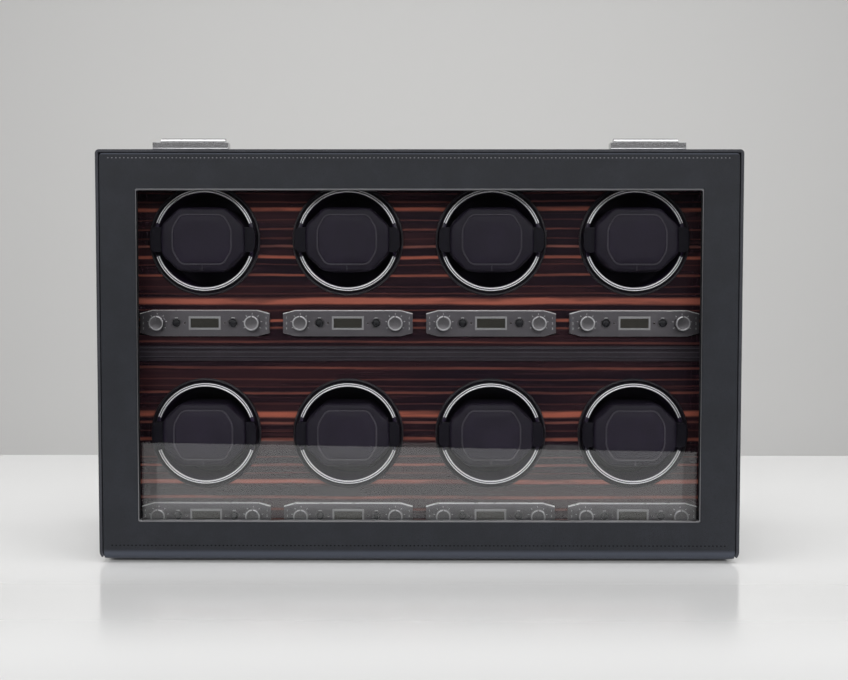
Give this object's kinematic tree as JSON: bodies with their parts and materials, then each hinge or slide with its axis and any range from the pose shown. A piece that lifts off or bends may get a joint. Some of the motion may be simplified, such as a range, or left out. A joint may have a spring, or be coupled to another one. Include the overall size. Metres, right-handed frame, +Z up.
{
  "type": "watch winder box",
  "caption": "Leather-covered cabinet with a hinged glass cover over rows of turning drums with watch cuffs, each with a control unit below it.",
  "frame": {"origin": "middle of the box's footprint, on the surface that its feet stand on", "axes": "+X to the right seen from the front, +Y from the glass front to the back, +Z up"},
  "size_m": [0.66, 0.241, 0.4374],
  "materials": {
    "leather": "fine-grained, semi-matt",
    "rear_board": "fine texture",
    "ebony_veneer": "striped ebony under gloss lacquer",
    "fibreboard": "raw board",
    "black_plastic": "satin",
    "drum_plastic": "satin black with a polished ring",
    "motor_metal": "plain",
    "brushed_metal": "brushed",
    "knob_metal": "knurled rim, satin face",
    "polished_metal": "polished",
    "display": "liquid crystal display",
    "lamp": "unlit lamp",
    "circuit_board": "solder mask",
    "rubber": "matt",
    "button_rubber": "matt",
    "glass": "clear",
    "cuff_leather": "soft padded leather"
  },
  "bodies": {
    "case": {"case_shell": "leather", "rear_cover": "rear_board", "veneer_panels": "ebony_veneer", "divider_rail": "leather", "drum_bezels": "black_plastic", "motor_board": "fibreboard", "gear_motors": "motor_metal", "control_plates": "brushed_metal", "displays": "display", "status_lamps": "lamp", "circuit_boards": "circuit_board", "power_socket": "black_plastic", "feet": "rubber", "case_hinge_leaves": "polished_metal", "hinge_pins": "polished_metal"},
    "cover": {"cover_frame": "leather", "window_trim": "polished_metal", "glass_pane": "glass", "glass_bead": "black_plastic", "cover_hinge_leaves": "polished_metal"},
    "winding_drum_1": {"drum_1": "drum_plastic", "cuff_1": "cuff_leather"},
    "winding_drum_2": {"drum_2": "drum_plastic", "cuff_2": "cuff_leather"},
    "winding_drum_3": {"drum_3": "drum_plastic", "cuff_3": "cuff_leather"},
    "winding_drum_4": {"drum_4": "drum_plastic", "cuff_4": "cuff_leather"},
    "winding_drum_5": {"drum_5": "drum_plastic", "cuff_5": "cuff_leather"},
    "winding_drum_6": {"drum_6": "drum_plastic", "cuff_6": "cuff_leather"},
    "winding_drum_7": {"drum_7": "drum_plastic", "cuff_7": "cuff_leather"},
    "winding_drum_8": {"drum_8": "drum_plastic", "cuff_8": "cuff_leather"},
    "left_selector_1": {"left_knob_1": "knob_metal"},
    "left_selector_2": {"left_knob_2": "knob_metal"},
    "left_selector_3": {"left_knob_3": "knob_metal"},
    "left_selector_4": {"left_knob_4": "knob_metal"},
    "left_selector_5": {"left_knob_5": "knob_metal"},
    "left_selector_6": {"left_knob_6": "knob_metal"},
    "left_selector_7": {"left_knob_7": "knob_metal"},
    "left_selector_8": {"left_knob_8": "knob_metal"},
    "right_selector_1": {"right_knob_1": "knob_metal"},
    "right_selector_2": {"right_knob_2": "knob_metal"},
    "right_selector_3": {"right_knob_3": "knob_metal"},
    "right_selector_4": {"right_knob_4": "knob_metal"},
    "right_selector_5": {"right_knob_5": "knob_metal"},
    "right_selector_6": {"right_knob_6": "knob_metal"},
    "right_selector_7": {"right_knob_7": "knob_metal"},
    "right_selector_8": {"right_knob_8": "knob_metal"},
    "buttons_1": {"push_buttons_1": "button_rubber"},
    "buttons_2": {"push_buttons_2": "button_rubber"},
    "buttons_3": {"push_buttons_3": "button_rubber"},
    "buttons_4": {"push_buttons_4": "button_rubber"},
    "buttons_5": {"push_buttons_5": "button_rubber"},
    "buttons_6": {"push_buttons_6": "button_rubber"},
    "buttons_7": {"push_buttons_7": "button_rubber"},
    "buttons_8": {"push_buttons_8": "button_rubber"}
  },
  "joints": [
    {"name": "cover_hinge", "type": "hinge", "parent": "case", "child": "cover", "pos_m": [0, -0.0982, 0.4314], "axis": [-1, 0, 0], "range_deg": [0, 105]},
    {"name": "drum_spin_1", "type": "hinge", "parent": "case", "child": "winding_drum_1", "pos_m": [-0.2259, -0.083, 0.3337], "axis": [0, -1, 0], "continuous": true},
    {"name": "drum_spin_2", "type": "hinge", "parent": "case", "child": "winding_drum_2", "pos_m": [-0.0753, -0.083, 0.3337], "axis": [0, -1, 0], "continuous": true},
    {"name": "drum_spin_3", "type": "hinge", "parent": "case", "child": "winding_drum_3", "pos_m": [0.0753, -0.083, 0.3337], "axis": [0, -1, 0], "continuous": true},
    {"name": "drum_spin_4", "type": "hinge", "parent": "case", "child": "winding_drum_4", "pos_m": [0.2259, -0.083, 0.3337], "axis": [0, -1, 0], "continuous": true},
    {"name": "drum_spin_5", "type": "hinge", "parent": "case", "child": "winding_drum_5", "pos_m": [-0.2259, -0.083, 0.1295], "axis": [0, -1, 0], "continuous": true},
    {"name": "drum_spin_6", "type": "hinge", "parent": "case", "child": "winding_drum_6", "pos_m": [-0.0753, -0.083, 0.1295], "axis": [0, -1, 0], "continuous": true},
    {"name": "drum_spin_7", "type": "hinge", "parent": "case", "child": "winding_drum_7", "pos_m": [0.0753, -0.083, 0.1295], "axis": [0, -1, 0], "continuous": true},
    {"name": "drum_spin_8", "type": "hinge", "parent": "case", "child": "winding_drum_8", "pos_m": [0.2259, -0.083, 0.1295], "axis": [0, -1, 0], "continuous": true},
    {"name": "left_selector_turn_1", "type": "hinge", "parent": "case", "child": "left_selector_1", "pos_m": [-0.2759, -0.0845, 0.2464], "axis": [0, -1, 0], "range_deg": [-135, 135]},
    {"name": "left_selector_turn_2", "type": "hinge", "parent": "case", "child": "left_selector_2", "pos_m": [-0.1253, -0.0845, 0.2464], "axis": [0, -1, 0], "range_deg": [-135, 135]},
    {"name": "left_selector_turn_3", "type": "hinge", "parent": "case", "child": "left_selector_3", "pos_m": [0.0253, -0.0845, 0.2464], "axis": [0, -1, 0], "range_deg": [-135, 135]},
    {"name": "left_selector_turn_4", "type": "hinge", "parent": "case", "child": "left_selector_4", "pos_m": [0.1759, -0.0845, 0.2464], "axis": [0, -1, 0], "range_deg": [-135, 135]},
    {"name": "left_selector_turn_5", "type": "hinge", "parent": "case", "child": "left_selector_5", "pos_m": [-0.2759, -0.0845, 0.0422], "axis": [0, -1, 0], "range_deg": [-135, 135]},
    {"name": "left_selector_turn_6", "type": "hinge", "parent": "case", "child": "left_selector_6", "pos_m": [-0.1253, -0.0845, 0.0422], "axis": [0, -1, 0], "range_deg": [-135, 135]},
    {"name": "left_selector_turn_7", "type": "hinge", "parent": "case", "child": "left_selector_7", "pos_m": [0.0253, -0.0845, 0.0422], "axis": [0, -1, 0], "range_deg": [-135, 135]},
    {"name": "left_selector_turn_8", "type": "hinge", "parent": "case", "child": "left_selector_8", "pos_m": [0.1759, -0.0845, 0.0422], "axis": [0, -1, 0], "range_deg": [-135, 135]},
    {"name": "right_selector_turn_1", "type": "hinge", "parent": "case", "child": "right_selector_1", "pos_m": [-0.1759, -0.0845, 0.2464], "axis": [0, -1, 0], "range_deg": [-135, 135]},
    {"name": "right_selector_turn_2", "type": "hinge", "parent": "case", "child": "right_selector_2", "pos_m": [-0.0253, -0.0845, 0.2464], "axis": [0, -1, 0], "range_deg": [-135, 135]},
    {"name": "right_selector_turn_3", "type": "hinge", "parent": "case", "child": "right_selector_3", "pos_m": [0.1253, -0.0845, 0.2464], "axis": [0, -1, 0], "range_deg": [-135, 135]},
    {"name": "right_selector_turn_4", "type": "hinge", "parent": "case", "child": "right_selector_4", "pos_m": [0.2759, -0.0845, 0.2464], "axis": [0, -1, 0], "range_deg": [-135, 135]},
    {"name": "right_selector_turn_5", "type": "hinge", "parent": "case", "child": "right_selector_5", "pos_m": [-0.1759, -0.0845, 0.0422], "axis": [0, -1, 0], "range_deg": [-135, 135]},
    {"name": "right_selector_turn_6", "type": "hinge", "parent": "case", "child": "right_selector_6", "pos_m": [-0.0253, -0.0845, 0.0422], "axis": [0, -1, 0], "range_deg": [-135, 135]},
    {"name": "right_selector_turn_7", "type": "hinge", "parent": "case", "child": "right_selector_7", "pos_m": [0.1253, -0.0845, 0.0422], "axis": [0, -1, 0], "range_deg": [-135, 135]},
    {"name": "right_selector_turn_8", "type": "hinge", "parent": "case", "child": "right_selector_8", "pos_m": [0.2759, -0.0845, 0.0422], "axis": [0, -1, 0], "range_deg": [-135, 135]},
    {"name": "button_press_1", "type": "slide", "parent": "case", "child": "buttons_1", "axis": [0, 1, 0], "range_m": [0, 0.0008], "stiffness_N_per_m": 1000},
    {"name": "button_press_2", "type": "slide", "parent": "case", "child": "buttons_2", "axis": [0, 1, 0], "range_m": [0, 0.0008], "stiffness_N_per_m": 1000},
    {"name": "button_press_3", "type": "slide", "parent": "case", "child": "buttons_3", "axis": [0, 1, 0], "range_m": [0, 0.0008], "stiffness_N_per_m": 1000},
    {"name": "button_press_4", "type": "slide", "parent": "case", "child": "buttons_4", "axis": [0, 1, 0], "range_m": [0, 0.0008], "stiffness_N_per_m": 1000},
    {"name": "button_press_5", "type": "slide", "parent": "case", "child": "buttons_5", "axis": [0, 1, 0], "range_m": [0, 0.0008], "stiffness_N_per_m": 1000},
    {"name": "button_press_6", "type": "slide", "parent": "case", "child": "buttons_6", "axis": [0, 1, 0], "range_m": [0, 0.0008], "stiffness_N_per_m": 1000},
    {"name": "button_press_7", "type": "slide", "parent": "case", "child": "buttons_7", "axis": [0, 1, 0], "range_m": [0, 0.0008], "stiffness_N_per_m": 1000},
    {"name": "button_press_8", "type": "slide", "parent": "case", "child": "buttons_8", "axis": [0, 1, 0], "range_m": [0, 0.0008], "stiffness_N_per_m": 1000}
  ]
}
